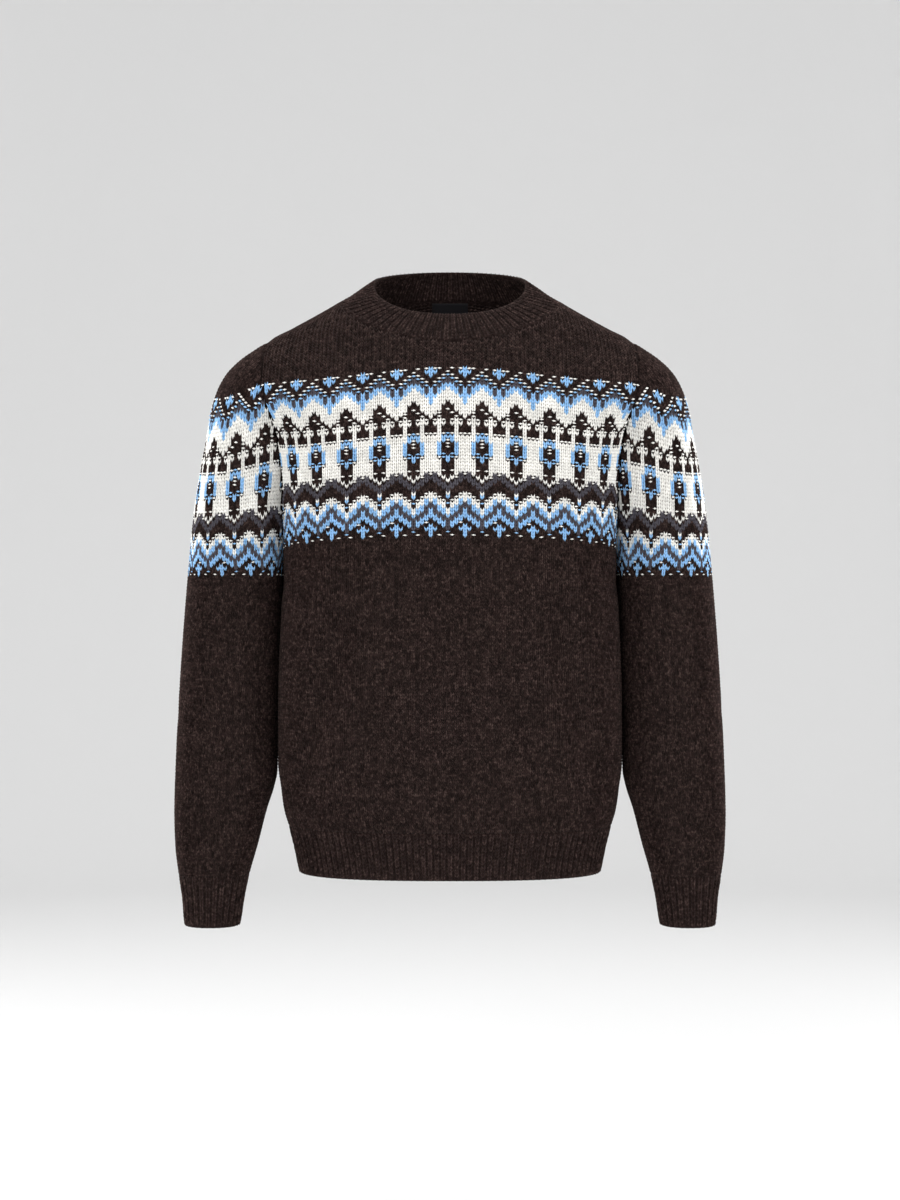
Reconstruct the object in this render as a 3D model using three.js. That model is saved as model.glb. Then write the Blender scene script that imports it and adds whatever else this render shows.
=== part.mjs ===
import * as THREE from 'three';

// Fair isle jumper, hollow and filled out as on a wearer, with its arms hanging down.
// Millimetres, +Z up. The front faces -Y and the wearer's left is +X.
// The origin is the middle of the neck's base, between the shoulders.

const WALL = 3; // thickness of the knitted cloth
const SEAM_GAP = 0.3;
const ARMHOLE_GAP = 0.4;
const RIB_RISE = 1.5; // from the valley between two ribs to the top of one

const BODY_MIDDLE = 4; // y of the shoulder ridge and of the side seams
const BODY_POWER = 2.6; // roundness of the body's sections, 2 being an ellipse
const ARM_POWER = 2.25;
const TIP_Z = -27; // where the shoulder seam ends and the sleeve starts
const UNDERARM_Z = -265;
const HEM_TOP_Z = -573;
const HEM_END_Z = -626;
const CUFF_TOP_Z = -628;
const CUFF_END_Z = -685;
const CREASE_SPREAD = 3; // the higher, the nearer to its seam a sleeve dips into the armhole crease

const NECK = { halfWidth: 123.82, shoulderZ: 19, frontDrop: 53, backRise: 14, power: 1.85 };
const COLLAR = { halfWidth: 87, front: 75, back: 70, sideZ: 44, frontDrop: 45.8, backRise: 20.5, power: 2.2 };
const LABEL = { width: 42, topZ: 31, height: 22, thickness: 0.9, clearance: 0.6, columns: 4, rows: 2 };

const PANEL_COLUMNS = 13; // from the centre of a panel to its edge
const NECK_COLUMNS = 9; // of these, the ones that start at the neck seam, the others at the shoulder seam
const SLEEVE_COLUMNS = 18;
const COLLAR_COLUMNS_PER_CELL = 5; // two of them make a rib
const COLLAR_ROWS = 2;
const HEM_RIBS = 132;
const CUFF_RIBS = 30;

// Half sections of the body. side is the x of the shoulder ridge, then of the armhole seam, then of the
// side seam. front and back are the depths at the centre.
const BODY = table(
  'z side front back',
  [34, 102, 78, 84],
  [16, 128.5, 86, 91],
  [0, 156.5, 90, 97],
  [-13, 180.5, 93, 102],
  [-27, 205, 96, 106],
  [-37, 207.5, 99, 109],
  [-64, 210, 111, 117],
  [-90, 207, 119, 122],
  [-120, 197.5, 125, 126],
  [-160, 190, 130, 128],
  [-200, 188, 133, 126],
  [-235, 188, 135, 124],
  [-265, 188.5, 135.5, 123],
  [-330, 191, 134, 119],
  [-420, 194.5, 132, 115],
  [-500, 195, 128, 113],
  [-536, 191.5, 125, 112],
  [-558, 187.5, 121, 110],
  [-573, 183, 116.5, 107],
  [-597, 176.7, 111, 103],
  [-626, 171, 107, 100],
);

// The armhole seam's depth as a share of the body's, where the cloth is folded in at the armpit, and how
// far the fold takes over from the smooth round of the shoulder.
const ARMHOLE = table(
  'z front back fold',
  [-70, 0.7, 0.7, 0],
  [-100, 0.6, 0.62, 0.45],
  [-130, 0.48, 0.52, 1],
  [-160, 0.41, 0.46, 1],
  [-200, 0.33, 0.38, 1],
  [-230, 0.26, 0.31, 1],
  [-250, 0.17, 0.21, 1],
  [-259, 0.1, 0.12, 1],
  [-265, 0, 0, 1],
);

// The outer edge of the shoulder and the sleeve.
const OUTLINE = table(
  'z x',
  [-27, 205],
  [-31.5, 214],
  [-38.8, 225.6],
  [-45.6, 235.4],
  [-52.4, 243.4],
  [-59.3, 250.2],
  [-66, 255.4],
  [-80, 263],
  [-100, 269.8],
  [-136, 276.8],
  [-169, 283],
  [-211, 289.6],
  [-264.5, 295],
  [-342, 302],
  [-410, 306.7],
  [-479, 310.2],
  [-556, 311.9],
  [-597, 310.2],
  [-628, 306.1],
  [-652, 301.9],
  [-685, 299],
);

// Sections of the sleeve: its inner edge, the y of its middle and its half depth.
const SLEEVE = table(
  'z inner middle depth',
  [-85, 140, 4, 84],
  [-120, 148, 5, 80],
  [-160, 157, 6, 77],
  [-200, 170, 6, 76],
  [-230, 178.5, 5, 76],
  [-250, 184.2, 4.5, 76],
  [-265, 188.5, 4, 76],
  [-300, 190.8, 6, 74],
  [-342, 192.6, 7, 72],
  [-444, 196.2, 4, 64],
  [-513, 197.2, -2, 58],
  [-530, 200.4, -4, 56],
  [-556, 208.6, -7, 53],
  [-597, 218.9, -12, 47],
  [-628, 227.5, -16, 41],
  [-652, 232.8, -19, 37],
  [-685, 237.5, -22, 33],
);

// Soft folds, each a line seen from the front or back. A depth under 0 is a ridge.
const FOLDS = table(
  'face x z toX toZ spread depth',
  [-1, -118, -362, -166, -528, 17, 9],
  [-1, -92, -390, -134, -528, 17, -3.5],
  [-1, 122, -372, 166, -528, 17, 7.5],
  [-1, 96, -400, 138, -528, 17, -3],
  [-1, -150, -262, -176, -300, 15, 3.5],
  [-1, 152, -258, 178, -300, 15, 3],
  [-1, -60, -508, 40, -526, 22, 2.5],
  [-1, -208, -60, -213, -76, 9, 2.5],
  [-1, 208, -62, 213, -74, 9, 2],
  [1, -110, -380, -160, -526, 19, 6],
  [1, 104, -360, 160, -526, 19, 7],
  [1, -70, -430, -98, -526, 19, -3],
  [1, 70, -440, 100, -526, 19, -3],
  [1, -30, -494, 50, -520, 24, 2.5],
  [1, -150, -250, -120, -330, 20, 3.5],
  [1, 150, -246, 116, -320, 20, 3],
  [-1, -246, -330, -222, -372, 13, 3],
  [-1, 246, -336, 222, -380, 13, 2.5],
  [-1, -292, -452, -240, -492, 12, 3.5],
  [-1, 292, -446, 242, -490, 12, 3],
  [-1, -244, -560, -288, -590, 10, 3],
  [-1, 242, -556, 290, -584, 10, 3],
  [1, -284, -420, -236, -466, 13, 4],
  [1, 284, -430, 236, -478, 13, 3.5],
  [1, -240, -540, -290, -572, 10, 3],
  [1, 242, -548, 288, -578, 10, 3],
);

const FRONT = { sign: -1, name: 'front' };
const BACK = { sign: 1, name: 'back' };

const COLOURS = { wool: 0x2c2220, rib: 0x2a201e, label: 0x0d0c0d };
const KNIT_ROUGHNESS = 0.95;
const LABEL_ROUGHNESS = 0.7;

function table(names, ...rows) {
  const columns = names.split(' ');
  return rows.map((row) => Object.fromEntries(columns.map((name, i) => [name, row[i]])));
}

function slopeAfter(rows, name, i) {
  return (rows[i + 1][name] - rows[i][name]) / (rows[i + 1].z - rows[i].z);
}

function slopeAt(rows, name, i) {
  if (i === 0) return slopeAfter(rows, name, 0);
  if (i === rows.length - 1) return slopeAfter(rows, name, i - 1);
  const before = slopeAfter(rows, name, i - 1);
  const after = slopeAfter(rows, name, i);
  return before * after <= 0 ? 0 : (2 * before * after) / (before + after);
}

// A column's value at the height z. It passes smoothly through the rows, which run from the top down.
function at(rows, name, z) {
  const last = rows.length - 1;
  if (z >= rows[0].z) return rows[0][name];
  if (z <= rows[last].z) return rows[last][name];
  const i = rows.findIndex((row, k) => k < last && z >= rows[k + 1].z);
  const step = rows[i + 1].z - rows[i].z;
  const t = (z - rows[i].z) / step;
  const bend = t * t * (3 - 2 * t);
  const leave = t * (1 - t) * (1 - t) * step * slopeAt(rows, name, i);
  const arrive = t * t * (t - 1) * step * slopeAt(rows, name, i + 1);
  return rows[i][name] * (1 - bend) + rows[i + 1][name] * bend + leave + arrive;
}

const mix = THREE.MathUtils.lerp;

// The other coordinate of a point on a unit superellipse.
function rounded(share, power) {
  return (1 - Math.min(1, Math.abs(share)) ** power) ** (1 / power);
}

// A point of a unit superellipse in the direction of an angle: across is 1 at 0, out is 1 at a quarter turn.
function section(angle, power) {
  const [c, s] = [Math.cos(angle), Math.sin(angle)];
  const size = (Math.abs(c) ** power + Math.abs(s) ** power) ** (-1 / power);
  return { across: c * size, out: s * size };
}

// How deep the armhole seam lies at a height, as a share of the body's depth. It is 0 on the ridge and side.
function seamShare(z, face) {
  if (z >= TIP_Z || z <= UNDERARM_Z) return 0;
  const smooth = rounded(at(BODY, 'side', z) / at(OUTLINE, 'x', z), BODY_POWER);
  return mix(smooth, at(ARMHOLE, face.name, z), at(ARMHOLE, 'fold', z));
}

function seamAngle(z, face) {
  const share = seamShare(z, face);
  return Math.atan2(share, rounded(share, BODY_POWER));
}

function bodyY(z, face, share) {
  return BODY_MIDDLE + face.sign * (at(BODY, face.name, z) - face.sign * BODY_MIDDLE) * share;
}

function bodyPoint(angle, z, face) {
  const reach = at(BODY, 'side', z) / rounded(seamShare(z, face), BODY_POWER);
  const { across, out } = section(angle, BODY_POWER);
  return new THREE.Vector3(reach * across, bodyY(z, face, out), z);
}

function bodyNormal(angle, z, face) {
  const step = 1e-3;
  const round = bodyPoint(angle - step, z, face).sub(bodyPoint(angle + step, z, face));
  const up = bodyPoint(angle, z + step, face).sub(bodyPoint(angle, z - step, face));
  return face.sign < 0 ? round.cross(up).normalize() : up.cross(round).normalize();
}

// The height of the neck seam at a distance from the centre.
function neckZ(x, face) {
  const share = x / NECK.halfWidth;
  if (face.sign > 0) return NECK.shoulderZ + NECK.backRise * (1 - share * share);
  return NECK.shoulderZ - NECK.frontDrop * rounded(share, NECK.power);
}

// The body's point on the neck seam, found by halving the heights that it can lie between.
function neckPoint(angle, face) {
  let [low, high] = [NECK.shoulderZ - NECK.frontDrop - 1, NECK.shoulderZ + NECK.backRise + 1];
  for (let i = 0; i < 30; i += 1) {
    const z = (low + high) / 2;
    if (z > neckZ(bodyPoint(angle, z, face).x, face)) high = z;
    else low = z;
  }
  return bodyPoint(angle, (low + high) / 2, face);
}

// Angles at equal steps of length along a quarter curve, from a quarter turn down to 0.
function evenAngles(curve, count, fine = 96) {
  const lengths = [0];
  const angleOf = (i) => (Math.PI / 2) * (1 - i / fine);
  for (let i = 1; i <= fine; i += 1) {
    lengths.push(lengths[i - 1] + curve(angleOf(i)).distanceTo(curve(angleOf(i - 1))));
  }
  return Array.from({ length: count + 1 }, (_, k) => {
    const wanted = (lengths[fine] * k) / count;
    const i = Math.max(1, lengths.findIndex((length) => length >= wanted - 1e-9));
    return angleOf(i - 1 + (wanted - lengths[i - 1]) / (lengths[i] - lengths[i - 1]));
  });
}

function foldDepth(point, side) {
  let depth = 0;
  for (const fold of FOLDS) {
    if (fold.face !== side) continue;
    const [start, end] = [new THREE.Vector3(fold.x, 0, fold.z), new THREE.Vector3(fold.toX, 0, fold.toZ)];
    const line = new THREE.Line3(start, end);
    const flat = new THREE.Vector3(point.x, 0, point.z);
    const away = line.closestPointToPoint(flat, true, new THREE.Vector3()).distanceTo(flat);
    depth += fold.depth * Math.exp(-((away / fold.spread) ** 2));
  }
  return depth;
}

function surfaceNormals(points, triangles) {
  const normals = points.map(() => new THREE.Vector3());
  for (const [a, b, c] of triangles) {
    const edge = points[b].clone().sub(points[a]);
    const normal = edge.cross(points[c].clone().sub(points[a]));
    for (const i of [a, b, c]) normals[i].add(normal);
  }
  return normals.map((normal) => normal.normalize());
}

// A closed wall between an outer and an inner surface that have the same triangles, with rims round its
// edges. A rim's diagonals start at its higher outer corner, so that two pieces have like rims at a seam.
function closedWall(outer, inner, triangles) {
  const count = outer.length;
  const faces = [...triangles, ...triangles.map(([a, b, c]) => [a + count, c + count, b + count])];
  const edges = new Set(triangles.flatMap(([a, b, c]) => [`${a} ${b}`, `${b} ${c}`, `${c} ${a}`]));
  for (const edge of edges) {
    const [a, b] = edge.split(' ').map(Number);
    if (edges.has(`${b} ${a}`)) continue;
    if (outer[a].z > outer[b].z) faces.push([b, a, b + count], [a, a + count, b + count]);
    else faces.push([b, a, a + count], [b, a + count, b + count]);
  }
  const geometry = new THREE.BufferGeometry();
  const places = [...outer, ...inner].flatMap((point) => point.toArray());
  geometry.setAttribute('position', new THREE.Float32BufferAttribute(places, 3));
  geometry.setIndex(faces.flat());
  geometry.computeVertexNormals();
  return geometry;
}

// Triangles over rows of point numbers, each cell cut along its shorter diagonal. Where a cell has shrunk to
// a triangle, the other is left out.
function gridTriangles(rows, points, turned = false) {
  const triangles = [];
  for (let r = 1; r < rows.length; r += 1) {
    for (let c = 1; c < rows[r].length; c += 1) {
      const [a, b, d, e] = [rows[r - 1][c - 1], rows[r - 1][c], rows[r][c], rows[r][c - 1]];
      const falling = points[a].distanceTo(points[d]) < points[b].distanceTo(points[e]) + 1e-3;
      if (falling) triangles.push([a, e, d], [a, d, b]);
      else triangles.push([a, e, b], [b, e, d]);
    }
  }
  const whole = triangles.filter(([a, b, c]) => a !== b && b !== c && c !== a);
  return turned ? whole.map(([a, b, c]) => [a, c, b]) : whole;
}

// Adds the folds to a sheet and gives it its thickness. A normal that is set at an edge stays there.
function foldedSheet(points, sides, triangles, fixed) {
  const outward = () => surfaceNormals(points, triangles).map((normal, i) => fixed(i, normal));
  const flat = outward();
  points.forEach((point, i) => point.addScaledVector(flat[i], -foldDepth(point, sides[i])));
  const normals = outward();
  const inner = points.map((point, i) => point.clone().addScaledVector(normals[i], -WALL));
  return { outer: points, inner, triangles };
}

// The yoke's rows start at the neck and shoulder seams and end at a level row, at shares of that way.
const YOKE_END_Z = -84;
const YOKE_SHARES = [0, 0.08, 0.2, 0.42, 0.68, 1];
const ARMHOLE_ROWS_Z = [-105, -130, -158, -188, -216, -238, -254];
const SIDE_ROWS_Z = [-300, -345, -400, -455, -505, -540];
const PANEL_ROWS_Z = [...ARMHOLE_ROWS_Z, UNDERARM_Z, ...SIDE_ROWS_Z, HEM_TOP_Z];

const yokeEdgeZ = (share) => mix(TIP_Z, YOKE_END_Z, share);

// Angle and height at which each column of a panel starts.
function panelTop(face) {
  const neck = evenAngles((angle) => neckPoint(angle, face), NECK_COLUMNS);
  const ridgeColumns = PANEL_COLUMNS - NECK_COLUMNS;
  return Array.from({ length: PANEL_COLUMNS + 1 }, (_, c) => {
    if (c <= NECK_COLUMNS) return { angle: neck[c], z: neckPoint(neck[c], face).z };
    return { angle: 0, z: mix(NECK.shoulderZ, TIP_Z, (c - NECK_COLUMNS) / ridgeColumns) };
  });
}

// A front or back panel as rows of columns, from the neck and shoulder seams down to the hem.
function panelSheet(face) {
  const top = panelTop(face);
  const points = [];
  const fixedNormals = [];
  const rows = [];
  const addRow = (angleAndZ) => {
    const row = [];
    for (let c = -PANEL_COLUMNS; c <= PANEL_COLUMNS; c += 1) {
      const column = Math.abs(c);
      const way = c < 0 ? -1 : 1;
      const [angle, z] = angleAndZ(column);
      const point = bodyPoint(angle, z, face);
      const normal = bodyNormal(angle, z, face);
      const atEdge = column === PANEL_COLUMNS || (rows.length === 0 && column >= NECK_COLUMNS);
      row.push(points.length);
      points.push(point.setX(point.x * way));
      fixedNormals.push(atEdge ? normal.setX(normal.x * way) : null);
    }
    rows.push(row);
  };
  const levelAngle = (c, z) => mix(Math.PI / 2, seamAngle(z, face), c / PANEL_COLUMNS);
  for (const share of YOKE_SHARES) {
    const seamShareOfTurn = seamAngle(yokeEdgeZ(share), face) / seamAngle(YOKE_END_Z, face);
    addRow((c) => {
      const turned = mix(share, seamShareOfTurn, (c / PANEL_COLUMNS) ** 2);
      return [mix(top[c].angle, levelAngle(c, YOKE_END_Z), turned), mix(top[c].z, YOKE_END_Z, share)];
    });
  }
  for (const z of PANEL_ROWS_Z) addRow((c) => [levelAngle(c, z), z]);
  const hemRow = new Set(rows.at(-1));
  const fixed = (i, normal) => {
    const kept = fixedNormals[i] ?? normal;
    return hemRow.has(i) ? kept.clone().setZ(0).normalize() : kept;
  };
  const sides = points.map(() => face.sign);
  const sheet = foldedSheet(points, sides, gridTriangles(rows, points, face.sign > 0), fixed);
  const move = new THREE.Vector3(0, (face.sign * SEAM_GAP) / 2, 0);
  for (const point of [...sheet.outer, ...sheet.inner]) point.add(move);
  return { ...sheet, neckRow: rows[0].slice(PANEL_COLUMNS - NECK_COLUMNS, PANEL_COLUMNS + NECK_COLUMNS + 1) };
}

// A sleeve's point at a share of the turn from the front of the armhole, round the outside, to its back.
function sleevePoint(turn, z) {
  const face = turn < 0.5 ? FRONT : BACK;
  const toSeam = Math.abs(1 - 2 * turn);
  const [side, outer, inner] = [at(BODY, 'side', z), at(OUTLINE, 'x', z), at(SLEEVE, 'inner', z)];
  const [centre, halfWidth] = [(outer + inner) / 2, (outer - inner) / 2];
  const armPoint = (share) => {
    const start = z > UNDERARM_Z ? THREE.MathUtils.clamp((side - centre) / halfWidth, -1, 1) : -1;
    const { across, out } = section(share * Math.atan2(rounded(start, ARM_POWER), start), ARM_POWER);
    return [centre + halfWidth * across, at(SLEEVE, 'middle', z) + face.sign * at(SLEEVE, 'depth', z) * out];
  };
  if (z <= UNDERARM_Z) return new THREE.Vector3(...armPoint(toSeam), z);
  const shoulderPoint = (share) => {
    const start = Math.min(1, side / outer);
    const { across, out } = section(share * Math.atan2(rounded(start, BODY_POWER), start), BODY_POWER);
    return [outer * across, bodyY(z, face, out)];
  };
  const fold = at(ARMHOLE, 'fold', z);
  const both = (share) => shoulderPoint(share).map((value, i) => mix(value, armPoint(share)[i], fold));
  const [x, y] = both(toSeam);
  const dip = bodyY(z, face, seamShare(z, face)) - both(1)[1];
  return new THREE.Vector3(x, y + dip * toSeam ** CREASE_SPREAD, z);
}

const SLEEVE_ROWS_Z = [
  ...YOKE_SHARES.slice(1).map(yokeEdgeZ),
  ...ARMHOLE_ROWS_Z,
  UNDERARM_Z,
  ...[-285, -320, -365, -410, -455, -500, -535, -565, -597],
  CUFF_TOP_Z,
];

function sleeveSheet(way) {
  const points = [sleevePoint(0, TIP_Z)];
  const sides = [0];
  const fixedNormals = [bodyNormal(0, TIP_Z, FRONT)];
  const folds = [0];
  const rows = [Array(SLEEVE_COLUMNS + 1).fill(0)];
  for (const z of SLEEVE_ROWS_Z) {
    const row = [];
    for (let c = 0; c <= SLEEVE_COLUMNS; c += 1) {
      if (c === SLEEVE_COLUMNS && z <= UNDERARM_Z) {
        row.push(row[0]);
        continue;
      }
      const turn = c / SLEEVE_COLUMNS;
      const face = turn < 0.5 ? FRONT : BACK;
      const atSeam = z > UNDERARM_Z && (c === 0 || c === SLEEVE_COLUMNS);
      row.push(points.length);
      points.push(sleevePoint(turn, z));
      sides.push(atSeam && z < ARMHOLE_ROWS_Z[1] ? 0 : face.sign);
      fixedNormals.push(atSeam ? bodyNormal(seamAngle(z, face), z, face) : null);
      folds.push(at(ARMHOLE, 'fold', z));
    }
    rows.push(row);
  }
  const cuffRow = new Set(rows.at(-1));
  const shift = new THREE.Vector3(ARMHOLE_GAP, 0, 0);
  const mirror = new THREE.Vector3(way, 1, 1);
  points.forEach((point) => point.add(shift).multiply(mirror));
  const fixed = (i, normal) => {
    if (cuffRow.has(i)) return normal.clone().setZ(0).normalize();
    if (!fixedNormals[i]) return normal;
    return fixedNormals[i].clone().multiply(mirror).lerp(normal, folds[i]).normalize();
  };
  return foldedSheet(points, sides, gridTriangles(rows, points, way < 0), fixed);
}

// A ribbed band over rings of points, plain inside. Every second column of the outside stands up as a rib.
// Its last ring of inner points can be given. Without it, both ends of the band are cut level.
function ribbedBand(rings, lastInside = null) {
  const count = rings[0].length;
  const base = rings.flat();
  const rows = rings.map((ring, r) => Array.from({ length: count + 1 }, (_, c) => r * count + (c % count)));
  const triangles = gridTriangles(rows, base);
  const normals = surfaceNormals(base, triangles);
  const lastRing = base.length - count;
  if (!lastInside) normals.forEach((normal) => normal.setZ(0).normalize());
  lastInside?.forEach((point, c) => {
    const i = lastRing + c;
    normals[i].subVectors(base[i], point).divideScalar(WALL);
  });
  const inner = base.map((point, i) => point.clone().addScaledVector(normals[i], -WALL));
  const rise = (i) => ((i % count) % 2 ? RIB_RISE / 2 : -RIB_RISE / 2);
  const outer = base.map((point, i) => point.clone().addScaledVector(normals[i], rise(i)));
  return { outer, inner, triangles };
}

// A full ring from two quarter curves, at equal steps, counter-clockwise from above from the right-hand side.
function evenRing(curve, perQuarter) {
  const quarter = (face, way) =>
    evenAngles((angle) => curve(angle, face), perQuarter).map((angle) => {
      const point = curve(angle, face);
      return point.setX(point.x * way);
    });
  const [backRight, backLeft] = [quarter(BACK, 1).reverse(), quarter(BACK, -1)];
  const [frontLeft, frontRight] = [quarter(FRONT, -1).reverse(), quarter(FRONT, 1)];
  return [backRight, backLeft, frontLeft, frontRight].flatMap((points) => points.slice(0, -1));
}

function hemRing(z) {
  return evenRing((angle, face) => bodyPoint(angle, z, face), HEM_RIBS / 2);
}

function cuffRing(z, way) {
  const ring = Array.from({ length: CUFF_RIBS * 2 }, (_, i) => sleevePoint(i / (CUFF_RIBS * 2), z));
  ring.forEach((point) => point.setX((point.x + ARMHOLE_GAP) * way));
  return way > 0 ? ring : ring.reverse();
}

// The neck seam as the panels have it, in an outer and an inner ring that run as evenRing's do.
function neckSeam(front, back, layer) {
  const pick = (sheet, face) => sheet.neckRow.map((i) => {
    const point = sheet[layer][i].clone();
    point.y -= (face.sign * SEAM_GAP) / 2;
    return point;
  });
  const corners = [...pick(back, BACK).reverse().slice(0, -1), ...pick(front, FRONT).slice(0, -1)];
  return corners.flatMap((point, i) =>
    Array.from({ length: COLLAR_COLUMNS_PER_CELL }, (_, k) =>
      point.clone().lerp(corners[(i + 1) % corners.length], k / COLLAR_COLUMNS_PER_CELL),
    ),
  );
}

function collarPoint(angle, face) {
  const { across, out } = section(angle, COLLAR.power);
  const z = COLLAR.sideZ + (face.sign < 0 ? -COLLAR.frontDrop : COLLAR.backRise) * out;
  return new THREE.Vector3(COLLAR.halfWidth * across, face.sign * COLLAR[face.name] * out, z);
}

function collarWall(front, back) {
  const [seam, seamInside] = [neckSeam(front, back, 'outer'), neckSeam(front, back, 'inner')];
  const top = evenRing(collarPoint, NECK_COLUMNS * COLLAR_COLUMNS_PER_CELL);
  const lift = seam.map((point, i) => {
    const across = seamInside[i].clone().sub(point).normalize();
    const up = top[i].clone().sub(point);
    return up.addScaledVector(across, -up.dot(across)).setLength(SEAM_GAP);
  });
  seam.forEach((point, i) => point.add(lift[i]));
  seamInside.forEach((point, i) => point.add(lift[i]));
  const rings = Array.from({ length: COLLAR_ROWS + 1 }, (_, r) =>
    seam.map((point, i) => top[i].clone().lerp(point, r / COLLAR_ROWS)),
  );
  return ribbedBand(rings, seamInside);
}

// A bare woven label that hangs inside the back of the neck, made from the back panel's points.
function labelWall() {
  const points = [];
  const normals = [];
  const rows = [];
  for (let r = 0; r <= LABEL.rows; r += 1) {
    const z = LABEL.topZ - (LABEL.height * r) / LABEL.rows;
    const row = [];
    for (let c = 0; c <= LABEL.columns; c += 1) {
      const x = LABEL.width * (c / LABEL.columns - 0.5);
      const share = Math.abs(x) / at(BODY, 'side', z);
      const angle = Math.atan2(rounded(share, BODY_POWER), share);
      const normal = bodyNormal(angle, z, BACK);
      row.push(points.length);
      points.push(bodyPoint(angle, z, BACK).setX(x));
      normals.push(normal.setX(normal.x * Math.sign(x)));
    }
    rows.push(row);
  }
  const layer = (depth) => points.map((point, i) => point.clone().addScaledVector(normals[i], -depth));
  const near = WALL + LABEL.clearance;
  const triangles = gridTriangles(rows, points, true);
  return { outer: layer(near), inner: layer(near + LABEL.thickness), triangles };
}

const jumper = new THREE.Group();

function addPiece(name, { outer, inner, triangles }, color, roughness) {
  const material = new THREE.MeshStandardMaterial({ color, roughness, metalness: 0 });
  const mesh = new THREE.Mesh(closedWall(outer, inner, triangles), material);
  mesh.name = name;
  jumper.add(mesh);
}

const frontPanel = panelSheet(FRONT);
const backPanel = panelSheet(BACK);
addPiece('front_panel', frontPanel, COLOURS.wool, KNIT_ROUGHNESS);
addPiece('back_panel', backPanel, COLOURS.wool, KNIT_ROUGHNESS);
addPiece('sleeve_left', sleeveSheet(1), COLOURS.wool, KNIT_ROUGHNESS);
addPiece('sleeve_right', sleeveSheet(-1), COLOURS.wool, KNIT_ROUGHNESS);
addPiece('neckband', collarWall(frontPanel, backPanel), COLOURS.rib, KNIT_ROUGHNESS);
const hemHeights = [HEM_TOP_Z - SEAM_GAP, HEM_END_Z];
addPiece('hem_rib', ribbedBand(hemHeights.map(hemRing)), COLOURS.rib, KNIT_ROUGHNESS);
const cuffHeights = [CUFF_TOP_Z - SEAM_GAP, (CUFF_TOP_Z + CUFF_END_Z) / 2, CUFF_END_Z];
addPiece('cuff_left', ribbedBand(cuffHeights.map((z) => cuffRing(z, 1))), COLOURS.rib, KNIT_ROUGHNESS);
addPiece('cuff_right', ribbedBand(cuffHeights.map((z) => cuffRing(z, -1))), COLOURS.rib, KNIT_ROUGHNESS);
addPiece('neck_label', labelWall(), COLOURS.label, LABEL_ROUGHNESS);

export default jumper;
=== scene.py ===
import math

import bpy
import numpy as np
from mathutils import Matrix, Vector

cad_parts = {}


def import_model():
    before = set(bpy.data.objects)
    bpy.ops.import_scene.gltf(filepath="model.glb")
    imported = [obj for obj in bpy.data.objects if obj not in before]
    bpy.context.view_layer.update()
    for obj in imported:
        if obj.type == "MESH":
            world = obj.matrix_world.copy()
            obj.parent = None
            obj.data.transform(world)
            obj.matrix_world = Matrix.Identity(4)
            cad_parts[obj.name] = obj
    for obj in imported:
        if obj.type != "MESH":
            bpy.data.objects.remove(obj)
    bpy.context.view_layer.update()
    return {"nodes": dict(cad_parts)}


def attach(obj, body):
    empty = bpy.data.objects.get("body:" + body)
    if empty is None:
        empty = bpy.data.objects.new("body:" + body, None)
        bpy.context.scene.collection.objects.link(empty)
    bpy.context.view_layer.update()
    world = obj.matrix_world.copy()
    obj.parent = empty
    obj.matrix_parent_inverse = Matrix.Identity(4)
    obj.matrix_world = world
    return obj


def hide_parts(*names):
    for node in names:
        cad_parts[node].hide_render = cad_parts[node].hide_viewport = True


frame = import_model()
print("frame loaded:", len(frame["nodes"]), "nodes")

# Shapes are worked out in millimetres and become metres when their mesh is made.
metre = 0.001
front, back = -1, 1


def table(names, *rows):
    values = np.array(rows, float)
    return {name: values[:, i] for i, name in enumerate(names.split())}


body = {
    "wall": 3.0, "middle": 4.0, "power": 2.6, "armPower": 2.25, "tipZ": -27.0, "underarmZ": -265.0,
    "hemTopZ": -573.0, "hemEndZ": -626.0, "cuffTopZ": -628.0, "cuffEndZ": -685.0, "seamGap": 0.3,
    "armholeGap": 0.4, "creaseSpread": 3.0, "wallDrop": 0.7, "seamDip": 1.4, "seamReach": 5.0,
    "shoulderDip": 0.2,
}
neck = {
    "halfWidth": 123.82, "shoulderZ": 19.0, "frontDrop": 53.0, "backRise": 14.0, "power": 1.85,
    "stitchGap": 0.4,
}
collar = {
    "halfWidth": 87.0, "front": 75.0, "back": 70.0, "sideZ": 44.0, "frontDrop": 45.8, "backRise": 20.5,
    "power": 2.2,
}

# Half sections of the body: the x of the shoulder ridge, armhole seam or side seam, and the depths.
bodyRows = table(
    "z side front back",
    [34, 102, 78, 84], [16, 128.5, 86, 91], [0, 156.5, 90, 97], [-13, 180.5, 93, 102], [-27, 205, 96, 106],
    [-37, 207.5, 99, 109], [-64, 210, 111, 117], [-90, 207, 119, 122], [-120, 197.5, 125, 126],
    [-160, 190, 130, 128], [-200, 188, 133, 126], [-235, 188, 135, 124], [-265, 188.5, 135.5, 123],
    [-330, 191, 134, 119], [-420, 194.5, 132, 115], [-500, 195, 128, 113], [-536, 191.5, 125, 112],
    [-558, 187.5, 121, 110], [-573, 183, 116.5, 107], [-597, 176.7, 111, 103], [-626, 171, 107, 100],
)
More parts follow.
